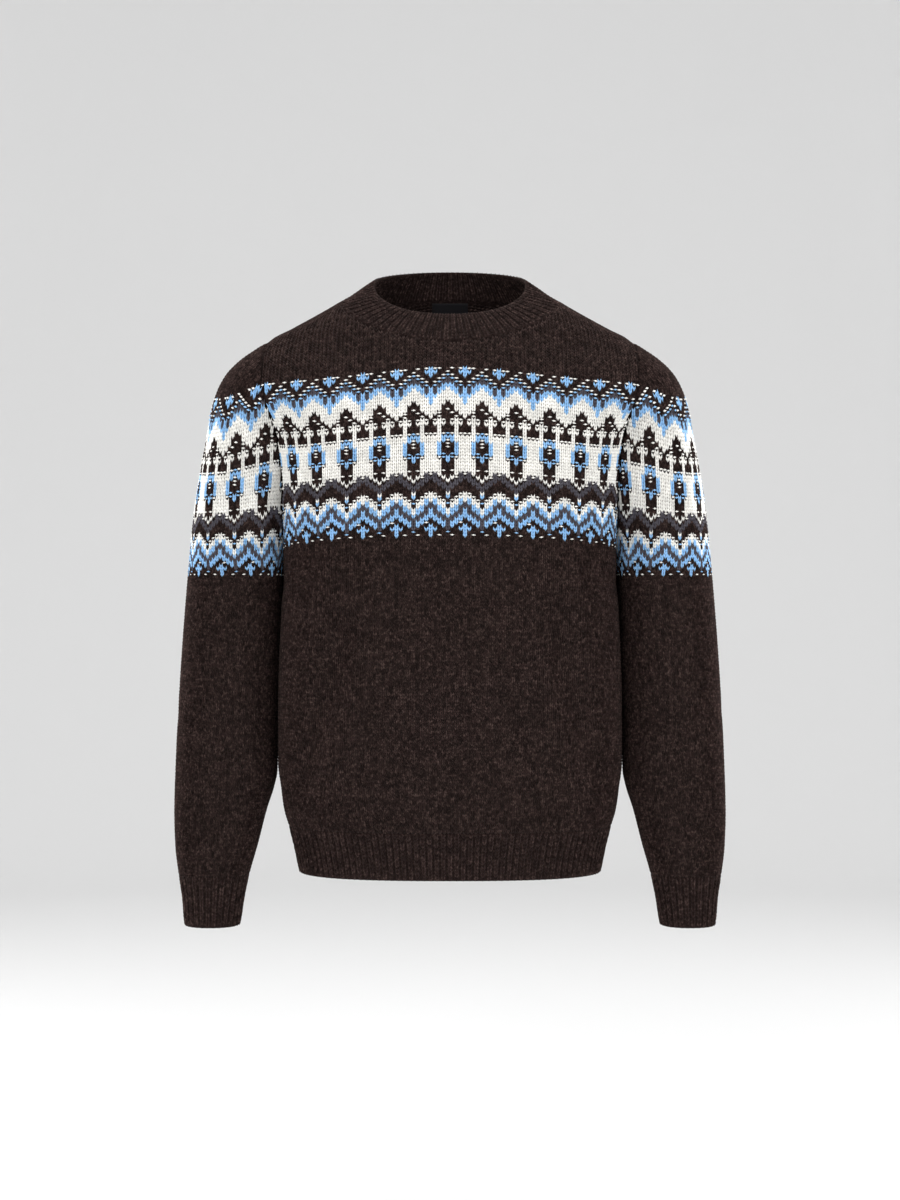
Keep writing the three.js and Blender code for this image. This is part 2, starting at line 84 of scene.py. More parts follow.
# The armhole seam's depth as a share of the body's, and how far the armpit's fold takes over.
armholeRows = table(
    "z front back fold",
    [-70, 0.7, 0.7, 0], [-100, 0.6, 0.62, 0.45], [-130, 0.48, 0.52, 1], [-160, 0.41, 0.46, 1],
    [-200, 0.33, 0.38, 1], [-230, 0.26, 0.31, 1], [-250, 0.17, 0.21, 1], [-259, 0.1, 0.12, 1],
    [-265, 0, 0, 1],
)
outlineRows = table(
    "z x",
    [-27, 205], [-31.5, 214], [-38.8, 225.6], [-45.6, 235.4], [-52.4, 243.4], [-59.3, 250.2], [-66, 255.4],
    [-80, 263], [-100, 269.8], [-136, 276.8], [-169, 283], [-211, 289.6], [-264.5, 295], [-342, 302],
    [-410, 306.7], [-479, 310.2], [-556, 311.9], [-597, 310.2], [-628, 306.1], [-652, 301.9],
    [-685, 299],
)
sleeveRows = table(
    "z inner middle depth",
    [-85, 140, 4, 84], [-120, 148, 5, 80], [-160, 157, 6, 77], [-200, 170, 6, 76], [-230, 178.5, 5, 76],
    [-250, 184.2, 4.5, 76], [-265, 188.5, 4, 76], [-300, 190.8, 6, 74], [-342, 192.6, 7, 72],
    [-444, 196.2, 4, 64], [-513, 197.2, -2, 58], [-530, 200.4, -4, 56], [-556, 208.6, -7, 53],
    [-597, 218.9, -12, 47], [-628, 227.5, -16, 41], [-652, 232.8, -19, 37], [-685, 237.5, -22, 33],
)
# Soft folds as lines seen from the front (-1) or back (1). A depth under 0 is a ridge.
foldRows = table(
    "face x z toX toZ spread depth",
    [-1, -118, -362, -166, -528, 17, 9], [-1, -92, -390, -134, -528, 17, -3.5],
    [-1, 122, -372, 166, -528, 17, 7.5], [-1, 96, -400, 138, -528, 17, -3],
    [-1, -150, -262, -176, -300, 15, 3.5], [-1, 152, -258, 178, -300, 15, 3],
    [-1, -60, -508, 40, -526, 22, 2.5], [-1, -208, -60, -213, -76, 9, 2.5],
    [-1, 208, -62, 213, -74, 9, 2], [1, -110, -380, -160, -526, 19, 6], [1, 104, -360, 160, -526, 19, 7],
    [1, -70, -430, -98, -526, 19, -3], [1, 70, -440, 100, -526, 19, -3],
    [1, -30, -494, 50, -520, 24, 2.5], [1, -150, -250, -120, -330, 20, 3.5],
    [1, 150, -246, 116, -320, 20, 3], [-1, -246, -330, -222, -372, 13, 3],
    [-1, 246, -336, 222, -380, 13, 2.5], [-1, -292, -452, -240, -492, 12, 3.5],
    [-1, 292, -446, 242, -490, 12, 3], [-1, -244, -560, -288, -590, 10, 3],
    [-1, 242, -556, 290, -584, 10, 3], [1, -284, -420, -236, -466, 13, 4],
    [1, 284, -430, 236, -478, 13, 3.5], [1, -240, -540, -290, -572, 10, 3],
    [1, 242, -548, 288, -578, 10, 3],
)


def mix(a, b, share):
    return a + (b - a) * share


# A column's value at the heights z, smooth through the table's rows and flat past its ends.
def at(rows, name, z):
    heights, values = rows["z"], rows[name]
    steps = np.diff(heights)
    secants = np.diff(values) / steps
    before, after = secants[:-1], secants[1:]
    same = before * after > 0
    inner = np.where(same, 2 * before * after / np.where(same, before + after, 1), 0)
    slopes = np.concatenate([secants[:1], inner, secants[-1:]])
    z = np.clip(np.asarray(z, float), heights[-1], heights[0])
    i = np.clip(np.searchsorted(-heights, -z, side="right") - 1, 0, len(steps) - 1)
    step = steps[i]
    t = (z - heights[i]) / step
    bend = t * t * (3 - 2 * t)
    leave = t * (1 - t) ** 2 * step * slopes[i]
    arrive = t * t * (t - 1) * step * slopes[i + 1]
    return values[i] * (1 - bend) + values[i + 1] * bend + leave + arrive


def rounded(share, power):
    return (1 - np.minimum(1, np.abs(share)) ** power) ** (1 / power)


def section(angle, power):
    c, s = np.cos(angle), np.sin(angle)
    size = (np.abs(c) ** power + np.abs(s) ** power) ** (-1 / power)
    return c * size, s * size


def bySide(rows, z, sign):
    return np.where(sign < 0, at(rows, "front", z), at(rows, "back", z))


def seamShare(z, sign):
    smooth = rounded(at(bodyRows, "side", z) / at(outlineRows, "x", z), body["power"])
    share = mix(smooth, bySide(armholeRows, z, sign), at(armholeRows, "fold", z))
    return np.where((z >= body["tipZ"]) | (z <= body["underarmZ"]), 0.0, share)


def seamAngle(z, sign):
    share = seamShare(z, sign)
    return np.arctan2(share, rounded(share, body["power"]))


def bodyY(z, sign, share):
    return body["middle"] + sign * (bySide(bodyRows, z, sign) - sign * body["middle"]) * share


def bodyPoint(angle, z, sign):
    reach = at(bodyRows, "side", z) / rounded(seamShare(z, sign), body["power"])
    across, out = section(angle, body["power"])
    x, y, z = np.broadcast_arrays(reach * across, bodyY(z, sign, out), z)
    return np.stack([x, y, z], -1).astype(float)


def unit(vectors):
    return vectors / np.maximum(np.linalg.norm(vectors, axis=-1, keepdims=True), 1e-12)


def bodyNormal(angle, z, sign):
    step = 1e-3
    around = bodyPoint(angle - step, z, sign) - bodyPoint(angle + step, z, sign)
    up = bodyPoint(angle, z + step, sign) - bodyPoint(angle, z - step, sign)
    return unit(np.cross(around, up)) * np.where(np.asarray(sign) < 0, 1.0, -1.0)[..., None]


def sleevePoint(turn, z):
    sign = np.where(turn < 0.5, front, back)
    toSeam = np.abs(1 - 2 * turn)
    side, outer, inner = at(bodyRows, "side", z), at(outlineRows, "x", z), at(sleeveRows, "inner", z)
    centre, half = (outer + inner) / 2, (outer - inner) / 2
    capped = z > body["underarmZ"]

    def both(share):
        start = np.where(capped, np.clip((side - centre) / half, -1, 1), -1)
        across, out = section(share * np.arctan2(rounded(start, body["armPower"]), start), body["armPower"])
        armX = centre + half * across
        armY = at(sleeveRows, "middle", z) + sign * at(sleeveRows, "depth", z) * out
        start = np.minimum(1, side / outer)
        across, out = section(share * np.arctan2(rounded(start, body["power"]), start), body["power"])
        fold = np.where(capped, at(armholeRows, "fold", z), 1)
        return mix(outer * across, armX, fold), mix(bodyY(z, sign, out), armY, fold)

    x, y = both(toSeam)
    dip = np.where(capped, bodyY(z, sign, seamShare(z, sign)) - both(np.ones_like(toSeam))[1], 0)
    x, y, z = np.broadcast_arrays(x, y + dip * toSeam ** body["creaseSpread"], z)
    return np.stack([x, y, z], -1).astype(float)


def neckZ(x, sign):
    share = x / neck["halfWidth"]
    rise = neck["shoulderZ"] + neck["backRise"] * (1 - share * share)
    drop = neck["shoulderZ"] - neck["frontDrop"] * rounded(share, neck["power"])
    return np.where(np.asarray(sign) > 0, rise, drop)


def neckHeight(angle, sign):
    low = np.full(np.shape(angle), neck["shoulderZ"] - neck["frontDrop"] - 1.0)
    high = np.full(np.shape(angle), neck["shoulderZ"] + neck["backRise"] + 1.0)
    for _ in range(30):
        z = (low + high) / 2
        above = z > neckZ(bodyPoint(angle, z, sign)[..., 0], sign)
        low, high = np.where(above, low, z), np.where(above, z, high)
    return (low + high) / 2


# Angles at equal steps of length along a quarter curve, from a quarter turn down to 0.
def evenAngles(curve, count, fine=240):
    angles = np.linspace(math.pi / 2, 0, fine + 1)
    steps = np.linalg.norm(np.diff(curve(angles), axis=0), axis=1)
    lengths = np.concatenate([[0], np.cumsum(steps)])
    return np.interp(np.linspace(0, lengths[-1], count + 1), lengths, angles)


def foldDepth(points, side):
    depth = np.zeros(points.shape[:-1])
    flat = points[..., [0, 2]]
    for face, x, z, toX, toZ, spread, deep in zip(*foldRows.values()):
        start, way = np.array([x, z]), np.array([toX - x, toZ - z])
        share = np.clip(((flat - start) @ way) / (way @ way), 0, 1)
        away = np.linalg.norm(flat - start - share[..., None] * way, axis=-1)
        depth += np.where(np.asarray(side) == face, deep * np.exp(-((away / spread) ** 2)), 0)
    return depth


# A seam's crease. On the shoulder the cloth runs almost smoothly over it.
def seamDip(fromEdge, z):
    depth = np.interp(z, [-200, -110], [body["seamDip"], body["shoulderDip"]])
    return depth * np.clip(1 - fromEdge / body["seamReach"], 0, 1) ** 2


# A panel's surface at an angle, on the left (1) or right (-1) half, raised by an offset.
def panelAt(angle, way, z, sign, offset=0.0):
    points, normals = bodyPoint(angle, z, sign), bodyNormal(angle, z, sign)
    points[..., 0] *= way
    normals[..., 0] *= way
    share = (math.pi / 2 - angle) / (math.pi / 2 - seamAngle(z, sign))
    dip = seamDip((1 - share) * 1.25 * at(bodyRows, "side", z), z)
    points += normals * (offset - foldDepth(points, sign) - dip)[..., None]
    points[..., 1] += sign * body["seamGap"] / 2
    return points


def panelSurface(sign):
    def surface(share, z, offset=0.0):
        share, z = np.broadcast_arrays(share, z)
        angle = mix(math.pi / 2, seamAngle(z, sign), np.abs(share))
        return panelAt(angle, np.where(share < 0, -1.0, 1.0), z, sign, offset)
    return surface


def sleeveSurface(way):
    def surface(share, z, offset=0.0):
        share, z = np.broadcast_arrays(share, z)
        turn, step = (1 + share) / 2, 1e-3
        low, high = np.maximum(turn - step, 0), np.minimum(turn + step, 1)
        around = sleevePoint(high, z) - sleevePoint(low, z)
        up = sleevePoint(turn, z + step * 50) - sleevePoint(turn, z - step * 50)
        normals = unit(np.cross(around, up))
        points = sleevePoint(turn, z)
        points[..., 0] = (points[..., 0] + body["armholeGap"]) * way
        normals[..., 0] *= way
        side = np.where(turn < 0.5, front, back)
        nearSeam = (z > body["underarmZ"]) & (np.abs(share) > 0.93)
        fold = foldDepth(points, side) * np.where(nearSeam, np.clip((1 - np.abs(share)) / 0.07, 0, 1), 1)
        dip = seamDip((1 - np.abs(share)) * 200, z) * (z > body["underarmZ"])
        return points + normals * (offset - fold - dip)[..., None]
    return surface


collection = bpy.context.scene.collection


def addObject(name, mesh, material=None):
    piece = bpy.data.objects.new(name, mesh)
    collection.objects.link(piece)
    if material:
        mesh.materials.append(material)
    return piece


def makeMesh(name, points, faces, corners):
    mesh = bpy.data.meshes.new(name)
    mesh.from_pydata((points * metre).tolist(), [], faces.tolist())
    layer = mesh.uv_layers.new(name="OFBake")
    layer.data.foreach_set("uv", corners.reshape(-1).astype(np.float32))
    mesh.polygons.foreach_set("use_smooth", np.ones(len(faces), bool))
    mesh.update()
    return mesh


# A closed wall from an outer and an inner grid of rows and columns. Its two sides lie next to each other on
# the bake map, and its rims in the margins. A ring's last column joins its first.
def wallMesh(name, outer, inner, ring=False, turned=False, rims=1):
    rows, columns = outer.shape[:2]
    ids = np.arange(rows * columns).reshape(rows, columns)
    across = np.linspace(0.02, 0.47, columns + ring)
    down = np.linspace(0.98, 0.02, rows)
    if ring:
        ids = np.concatenate([ids, ids[:, :1]], 1)
    layers = [outer.reshape(-1, 3), inner.reshape(-1, 3)]
    count = rows * columns
    u, v = np.meshgrid(across, down)
    place = np.stack([u, v], -1)

    def quads(grid, spots, flip):
        corners = [grid[:-1, :-1], grid[1:, :-1], grid[1:, 1:], grid[:-1, 1:]]
        where = [spots[:-1, :-1], spots[1:, :-1], spots[1:, 1:], spots[:-1, 1:]]
        order = [0, 3, 2, 1] if flip else [0, 1, 2, 3]
        return (np.stack([corners[i].ravel() for i in order], 1),
                np.stack([where[i].reshape(-1, 2) for i in order], 1))

    parts = [quads(ids, place, turned), quads(ids + count, place + [0.5, 0], not turned)]
    total = 2 * count

    def rim(edge, spots, away, flip):
        nonlocal total
        closed = edge[0] == edge[-1]
        chain, used = [edge], edge[:-1] if closed else edge
        start, end = layers[0][used], layers[1][used]
        size = np.linalg.norm(end - start, axis=1, keepdims=True)
        lean = unit(away) * size * 0.32
        for i in range(1, rims + 1):
            share = i / (rims + 1)
            layers.append(mix(start, end, share) + lean * math.sin(math.pi * share))
            new = np.arange(total, total + len(used))
            total += len(used)
            chain.append(np.concatenate([new, new[:1]]) if closed else new)
        chain.append(edge + count)
        shift = np.linspace(0, 1, len(chain))[:, None, None] * [[[0.008, 0.008]]]
        parts.append(quads(np.stack(chain), spots[None] + shift, flip))

    topAway = outer[0] - outer[1]
    endAway = outer[-1] - outer[-2]
    rim(ids[0], place[0], topAway, not turned)
    rim(ids[-1], place[-1], endAway, turned)
    if not ring:
        rim(ids[:, 0], place[:, 0], outer[:, 0] - outer[:, 1], turned)
        rim(ids[:, -1], place[:, -1], outer[:, -1] - outer[:, -2], not turned)
    faces = np.concatenate([p[0] for p in parts])
    corners = np.concatenate([p[1] for p in parts])
    return makeMesh(name, np.concatenate(layers), faces, corners)


def socketIds(tree):
    return {item.name: item.identifier for item in tree.interface.items_tree
            if item.item_type == "SOCKET" and item.in_out == "INPUT"}


def linked(tree, source, output, target, entry):
    tree.links.new(source.outputs[output], target.inputs[entry])


def setInputs(node, values):
    for name, value in values.items():
        node.inputs[name].default_value = value


# Instances a knit stitch, made of two leaning spindles, or a short dash of yarn, on each point.
def stitchTree():
    tree = bpy.data.node_groups.new("Knit stitches", "GeometryNodeTree")
    add = tree.nodes.new
    face = tree.interface
    face.new_socket("Geometry", in_out="INPUT", socket_type="NodeSocketGeometry")
    for name, value in {"Wale Width": 0.00475, "Leg Width": 0.0025, "Leg Length": 0.0075, "Relief": 0.0009,
                        "Lean": 0.2, "Unevenness": 0.06}.items():
        face.new_socket(name, in_out="INPUT", socket_type="NodeSocketFloat").default_value = value
    face.new_socket("Seed", in_out="INPUT", socket_type="NodeSocketInt").default_value = 3
    face.new_socket("Material", in_out="INPUT", socket_type="NodeSocketMaterial")
    face.new_socket("Geometry", in_out="OUTPUT", socket_type="NodeSocketGeometry")
    entry, end = add("NodeGroupInput"), add("NodeGroupOutput")

    def maths(operation, a, b=None):
        node = add("ShaderNodeMath")
        node.operation = operation
        for i, value in enumerate([a, b]):
            if isinstance(value, (int, float)):
                node.inputs[i].default_value = value
            elif value is not None:
                tree.links.new(value, node.inputs[i])
        return node.outputs[0]

    def vector(x, y, z):
        node = add("ShaderNodeCombineXYZ")
        for i, value in enumerate([x, y, z]):
            if isinstance(value, (int, float)):
                node.inputs[i].default_value = value
            else:
                tree.links.new(value, node.inputs[i])
        return node.outputs[0]

    def attribute(name, kind):
        node = add("GeometryNodeInputNamedAttribute")
        node.data_type = kind
        node.inputs["Name"].default_value = name
        return node.outputs["Attribute"]

    def moved(geometry, translation=None, rotation=None, scale=None):
        node = add("GeometryNodeTransform")
        tree.links.new(geometry, node.inputs["Geometry"])
        for name, value in (("Translation", translation), ("Rotation", rotation), ("Scale", scale)):
            if isinstance(value, tuple):
                node.inputs[name].default_value = value
            elif value is not None:
                tree.links.new(value, node.inputs[name])
        return node.outputs["Geometry"]

    spindle = add("GeometryNodeMeshUVSphere")
    setInputs(spindle, {"Segments": 3, "Rings": 2, "Radius": 1.0})
    # The sphere's poles go along the wale and one corner of its ring stands up.
    stand = tuple(Matrix(((0, 1, 0), (0, 0, 1), (1, 0, 0))).to_euler())
    halfWidth = maths("DIVIDE", entry.outputs["Leg Width"], 2 * math.cos(math.radians(30)))
    halfLength = maths("DIVIDE", entry.outputs["Leg Length"], 2)
    leg = moved(spindle.outputs["Mesh"], scale=vector(entry.outputs["Relief"], halfWidth, halfLength))
    leg = moved(leg, rotation=stand)
    quarter = maths("DIVIDE", entry.outputs["Wale Width"], 4)
    lean = entry.outputs["Lean"]
    right = moved(leg, vector(quarter, 0, 0), vector(0, 0, maths("MULTIPLY", lean, -1)))
    left = moved(leg, vector(maths("MULTIPLY", quarter, -1), 0, 0), vector(0, 0, lean))
    both = add("GeometryNodeJoinGeometry")
    tree.links.new(right, both.inputs[0])
    tree.links.new(left, both.inputs[0])
    dash = moved(leg, vector(0, 0, maths("MULTIPLY", entry.outputs["Relief"], 0.9)),
                 (0, 0, math.pi / 2), (0.8, 0.75, 1.0))
    shapes = add("GeometryNodeGeometryToInstance")
    kept = []
    for shape in (dash, both.outputs[0]):
        store = add("GeometryNodeStoreNamedAttribute")
        store.data_type, store.domain = "FLOAT_VECTOR", "POINT"
        store.inputs["Name"].default_value = "local"
        tree.links.new(shape, store.inputs["Geometry"])
        linked(tree, add("GeometryNodeInputPosition"), 0, store, "Value")
        kept.append(store.outputs["Geometry"])
    # The last one linked comes first, so that kind 0 is the stitch and kind 1 the dash.
    for shape in kept:
        tree.links.new(shape, shapes.inputs[0])
    facing = add("FunctionNodeAxesToRotation")
    facing.primary_axis, facing.secondary_axis = "Z", "Y"
    tree.links.new(attribute("out", "FLOAT_VECTOR"), facing.inputs[0])
    tree.links.new(attribute("up", "FLOAT_VECTOR"), facing.inputs[1])
    shake = add("FunctionNodeRandomValue")
    shake.data_type = "FLOAT_VECTOR"
    tree.links.new(maths("MULTIPLY", entry.outputs["Unevenness"], -1), shake.inputs["Min"])
    linked(tree, entry, "Unevenness", shake, "Max")
    linked(tree, entry, "Seed", shake, "Seed")
    turned = add("FunctionNodeRotateRotation")
    turned.rotation_space = "LOCAL"
    linked(tree, facing, 0, turned, 0)
    linked(tree, shake, 0, turned, 1)
    place = add("GeometryNodeInstanceOnPoints")
    linked(tree, entry, "Geometry", place, "Points")
    linked(tree, shapes, 0, place, "Instance")
    place.inputs["Pick Instance"].default_value = True
    tree.links.new(attribute("kind", "INT"), place.inputs["Instance Index"])
    linked(tree, turned, 0, place, "Rotation")
    tree.links.new(attribute("fit", "FLOAT_VECTOR"), place.inputs["Scale"])
    real = add("GeometryNodeRealizeInstances")
    linked(tree, place, 0, real, 0)
    paint = add("GeometryNodeSetMaterial")
    linked(tree, real, 0, paint, "Geometry")
    linked(tree, entry, "Material", paint, "Material")
    linked(tree, paint, 0, end, 0)
    return tree


knitTree = stitchTree()
stitch = {
    "wale": 4.65, "row": 3.7, "legWidth": 2.95, "legLength": 7.4, "relief": 0.95, "lean": 0.21,
    "unevenness": 0.1, "seamMargin": 0.25, "insideSunk": 0.2, "ribSunk": 0.35,
}


# Adds one stitch to a lattice.
def record(made, **values):
    for key, value in values.items():
        made.setdefault(key, []).append(value)


# Turns a lattice of stitches, a dictionary of arrays, into one plain mesh.
def knit(name, stitches, material, settings, grid):
    count = len(stitches["point"])
    mesh = bpy.data.meshes.new(name)
    mesh.from_pydata((stitches["point"] * metre).tolist(), [], [])
    for key, kind in (("out", "FLOAT_VECTOR"), ("up", "FLOAT_VECTOR"), ("fit", "FLOAT_VECTOR"),
                      ("cell", "FLOAT_VECTOR"), ("kind", "INT"), ("yarn", "FLOAT"), ("shade", "FLOAT")):
        layer = mesh.attributes.new(key, kind, "POINT")
        field = "vector" if kind == "FLOAT_VECTOR" else "value"
        values = np.asarray(stitches[key])
        layer.data.foreach_set(field, values.reshape(-1).astype(int if kind == "INT" else np.float32))
    piece = addObject(name, mesh)
    modifier = piece.modifiers.new("Knit", "NODES")
    modifier.node_group = knitTree
    ids = socketIds(knitTree)
    for socket, value in {"Wale Width": settings["wale"] * metre, "Leg Width": settings["legWidth"] * metre,
                          "Leg Length": settings["legLength"] * metre, "Relief": settings["relief"] * metre,
                          "Lean": settings["lean"], "Unevenness": settings["unevenness"], "Seed": count,
                          "Material": material}.items():
        modifier[ids[socket]] = value
    evaluated = piece.evaluated_get(bpy.context.evaluated_depsgraph_get())
    plain = bpy.data.meshes.new_from_object(evaluated)
    piece.modifiers.clear()
    piece.data = plain
    bpy.data.meshes.remove(mesh)
    size = len(plain.vertices)
    local, cell = np.zeros(size * 3, np.float32), np.zeros(size * 3, np.float32)
    plain.attributes["local"].data.foreach_get("vector", local)
    plain.attributes["cell"].data.foreach_get("vector", cell)
    local, cell = local.reshape(-1, 3) / metre, cell.reshape(-1, 3)
    spot = local[:, :2] / [settings["wale"] * 1.1, settings["legLength"] * 1.1]
    spot = (cell[:, :2] + 0.5 + np.clip(spot, -0.48, 0.48)) / grid
    corners = np.zeros(len(plain.loops), np.int32)
    plain.loops.foreach_get("vertex_index", corners)
    layer = plain.uv_layers.new(name="OFBake")
    layer.data.foreach_set("uv", spot[corners].reshape(-1).astype(np.float32))
    for key in ("local", "cell", "out", "up", "fit", "kind"):
        plain.attributes.remove(plain.attributes[key])
    plain.polygons.foreach_set("use_smooth", np.ones(len(plain.polygons), bool))
    plain.update()
    print(f"{name}: {count} stitches, {len(plain.polygons)} faces")
    return piece


brown, charcoal, blue, white = 0, 1, 2, 3
yarnColours = {
    "Brown": (0.021, 0.0125, 0.0115, 1), "Charcoal": (0.085, 0.079, 0.096, 1),
    "Blue": (0.32, 0.585, 0.92, 1), "White": (0.97, 0.955, 0.91, 1),
}


def shaderGroup(name, inputs, outputs):
    group = bpy.data.node_groups.new(name, "ShaderNodeTree")
    for socket, (kind, value) in inputs.items():
        made = group.interface.new_socket(socket, in_out="INPUT", socket_type="NodeSocket" + kind)
        made.default_value = value
    for socket, kind in outputs.items():
        group.interface.new_socket(socket, in_out="OUTPUT", socket_type="NodeSocket" + kind)
    return group, group.nodes.new("NodeGroupInput"), group.nodes.new("NodeGroupOutput")


# Wool whose fibres vary in tone: a yarn's colour with lighter flecks, and the height of its fibres.
def heatherGroup():
    group, entry, end = shaderGroup(
        "Heathered wool",
        {"Yarn": ("Color", (0.03, 0.02, 0.018, 1)), "Fleck": ("Color", (0.1, 0.07, 0.06, 1)),
         "Fleck Share": ("Float", 0.3), "Tone": ("Float", 0.5), "Tone Spread": ("Float", 1.0)},
        {"Color": "Color", "Height": "Float"})
    add = group.nodes.new
    spot = add("ShaderNodeTexCoord")
    fine = add("ShaderNodeTexNoise")
    setInputs(fine, {"Scale": 350, "Detail": 3})
    broad = add("ShaderNodeTexNoise")
    setInputs(broad, {"Scale": 55, "Detail": 2})
    for noise in (fine, broad):
        linked(group, spot, "Object", noise, "Vector")
    mask = add("ShaderNodeMapRange")
    setInputs(mask, {"From Min": 0.5, "From Max": 0.64})
    linked(group, fine, "Fac", mask, "Value")
    linked(group, entry, "Fleck Share", mask, "To Max")
    flecked = add("ShaderNodeMix")
    flecked.data_type = "RGBA"
    group.links.new(mask.outputs[0], flecked.inputs["Factor"])
    group.links.new(entry.outputs["Yarn"], flecked.inputs[6])
    group.links.new(entry.outputs["Fleck"], flecked.inputs[7])
    centred = add("ShaderNodeMath")
    centred.operation = "SUBTRACT"
    linked(group, entry, "Tone", centred, 0)
    tone = add("ShaderNodeMath")
    tone.operation = "MULTIPLY_ADD"
    linked(group, centred, 0, tone, 0)
    linked(group, entry, "Tone Spread", tone, 1)
    tone.inputs[2].default_value = 1
    patch = add("ShaderNodeMapRange")
    setInputs(patch, {"From Min": 0.3, "From Max": 0.7, "To Min": 0.92, "To Max": 1.08})
    linked(group, broad, "Fac", patch, "Value")
    level = add("ShaderNodeMath")
    level.operation = "MULTIPLY"
    linked(group, tone, 0, level, 0)
    linked(group, patch, 0, level, 1)
    shaded = add("ShaderNodeVectorMath")
    shaded.operation = "SCALE"
    group.links.new(flecked.outputs[2], shaded.inputs[0])
    linked(group, level, 0, shaded, "Scale")
    linked(group, shaded, 0, end, "Color")
    linked(group, fine, "Fac", end, "Height")
    return group


# Picks one of four yarns by its number, and tells whether it is the brown ground.
def yarnGroup():
    group, entry, end = shaderGroup(
        "Yarn by number",
        {"Number": ("Float", 0), **{name: ("Color", colour) for name, colour in yarnColours.items()}},
        {"Color": "Color", "Ground": "Float"})
    picked = entry.outputs["Brown"]
    for i, name in enumerate(list(yarnColours)[1:]):
        over = group.nodes.new("ShaderNodeMath")
        over.operation = "GREATER_THAN"
        over.inputs[1].default_value = i + 0.5
        linked(group, entry, "Number", over, 0)
        choice = group.nodes.new("ShaderNodeMix")
        choice.data_type = "RGBA"
        group.links.new(over.outputs[0], choice.inputs["Factor"])
        group.links.new(picked, choice.inputs[6])
        group.links.new(entry.outputs[name], choice.inputs[7])
        picked = choice.outputs[2]
    group.links.new(picked, end.inputs["Color"])
    ground = group.nodes.new("ShaderNodeMath")
    ground.operation = "LESS_THAN"
    ground.inputs[1].default_value = 0.5
    linked(group, entry, "Number", ground, 0)
    linked(group, ground, 0, end, "Ground")
    return group


heather, yarnPicker = heatherGroup(), yarnGroup()
woolFleck = (0.085, 0.056, 0.049, 1)


def woolMaterial(name, patterned=False, stitched=True, yarn=yarnColours["Brown"], fleckShare=0.55):
    material = bpy.data.materials.new(name)
    material.use_nodes = True
    tree = material.node_tree
    shader = tree.nodes["Principled BSDF"]
    setInputs(shader, {
        "Roughness": 0.92, "Specular IOR Level": 0.03, "Sheen Weight": 0.07, "Sheen Roughness": 0.5,
        "Sheen Tint": (0.5, 0.4, 0.36, 1),
    })
    wool = tree.nodes.new("ShaderNodeGroup")
    wool.node_tree = heather
    setInputs(wool, {"Yarn": yarn, "Fleck": woolFleck, "Fleck Share": fleckShare})
    if patterned:
        number = tree.nodes.new("ShaderNodeAttribute")
        number.attribute_name = "yarn"
        picker = tree.nodes.new("ShaderNodeGroup")
        picker.node_tree = yarnPicker
        linked(tree, number, "Fac", picker, "Number")
        linked(tree, picker, "Color", wool, "Yarn")
        lighter = tree.nodes.new("ShaderNodeMix")
        lighter.data_type = "RGBA"
        lighter.inputs["Factor"].default_value = 0.10
        lighter.inputs[7].default_value = (0.76, 0.76, 0.76, 1)
        tree.links.new(picker.outputs["Color"], lighter.inputs[6])
        fleck = tree.nodes.new("ShaderNodeMix")
        fleck.data_type = "RGBA"
        linked(tree, picker, "Ground", fleck, "Factor")
        tree.links.new(lighter.outputs[2], fleck.inputs[6])
        fleck.inputs[7].default_value = woolFleck
        tree.links.new(fleck.outputs[2], wool.inputs["Fleck"])
        spread = tree.nodes.new("ShaderNodeMapRange")
        setInputs(spread, {"To Min": 0.14, "To Max": 1.0})
        linked(tree, picker, "Ground", spread, "Value")
        linked(tree, spread, 0, wool, "Tone Spread")
    if stitched:
        shade = tree.nodes.new("ShaderNodeAttribute")
        shade.attribute_name = "shade"
        linked(tree, shade, "Fac", wool, "Tone")
    linked(tree, wool, "Color", shader, "Base Color")
    relief = tree.nodes.new("ShaderNodeBump")
    setInputs(relief, {"Strength": 0.35, "Distance": 0.0006})
    linked(tree, wool, "Height", relief, "Height")
    linked(tree, relief, "Normal", shader, "Normal")
    return material


plainWool = woolMaterial("plain wool")
patternWool = woolMaterial("patterned wool", patterned=True)
# The wall under the stitches is a darker brown than the yarn: painted shade for the gaps between the
# stitches.
paintedShadeWool = woolMaterial("wool ground, painted shade", stitched=False, yarn=(0.0105, 0.0063, 0.0058, 1), fleckShare=0.2)
ribWool = woolMaterial("rib wool")
# The ribbed bands' wall is darker than the yarn too: painted shade in the gaps between the rib stitches.
paintedShadeRibWool = woolMaterial("rib ground, painted shade", stitched=False, yarn=(0.0125, 0.0076, 0.0069, 1), fleckShare=0.25)
print("materials made")

# One repeat of the band, charted from the top down. Column 0 is the axis of the stars. B is brown,
# C charcoal, L blue and W off-white, and small letters are a light fleck on brown.
chart = """
LwwBBwBw LLBBwBBL LBBwlwBB BBwlClwB BwlCCClw BlCLLLCl LCLLWLLC LCLWWWLC LLWWWWWL LWWWWWWW
LWWWBWWW WWWBBBWW WWWBwBWW WWwBBwBW WBwBBBwB BwWwBwWw BWWWBWWW BBWBBBWB BBWBBBWB wwWwlwWw
WWWLLLWW WWWLwLWW WWLBwBLW WWLBwBLW WWLBBBLW WWLlBlLW WWwlLlwW WWWBLBWW WWWBBBWW WWWBBBWW
WWWwBwWW wCWBBBWC CCBWBWwC BCCBWBCC BBCCBCCB BBBCCCBB BBBBCBBB WwBBWBBw WWwBLBwW WLWwBwWL
CLWWlWWL CCLWBWLC LCLLWLLC LCCLWLCC LLCCLCCL BLLCCCLL BBLLCLLw LBBLCLBB LLBBCBBL LBBBlBBB
LBwBBwBB
""".split()
chartYarn = {"B": brown, "C": charcoal, "L": blue, "W": white, "w": brown, "l": brown}
fleckYarn = {"w": white, "l": blue}

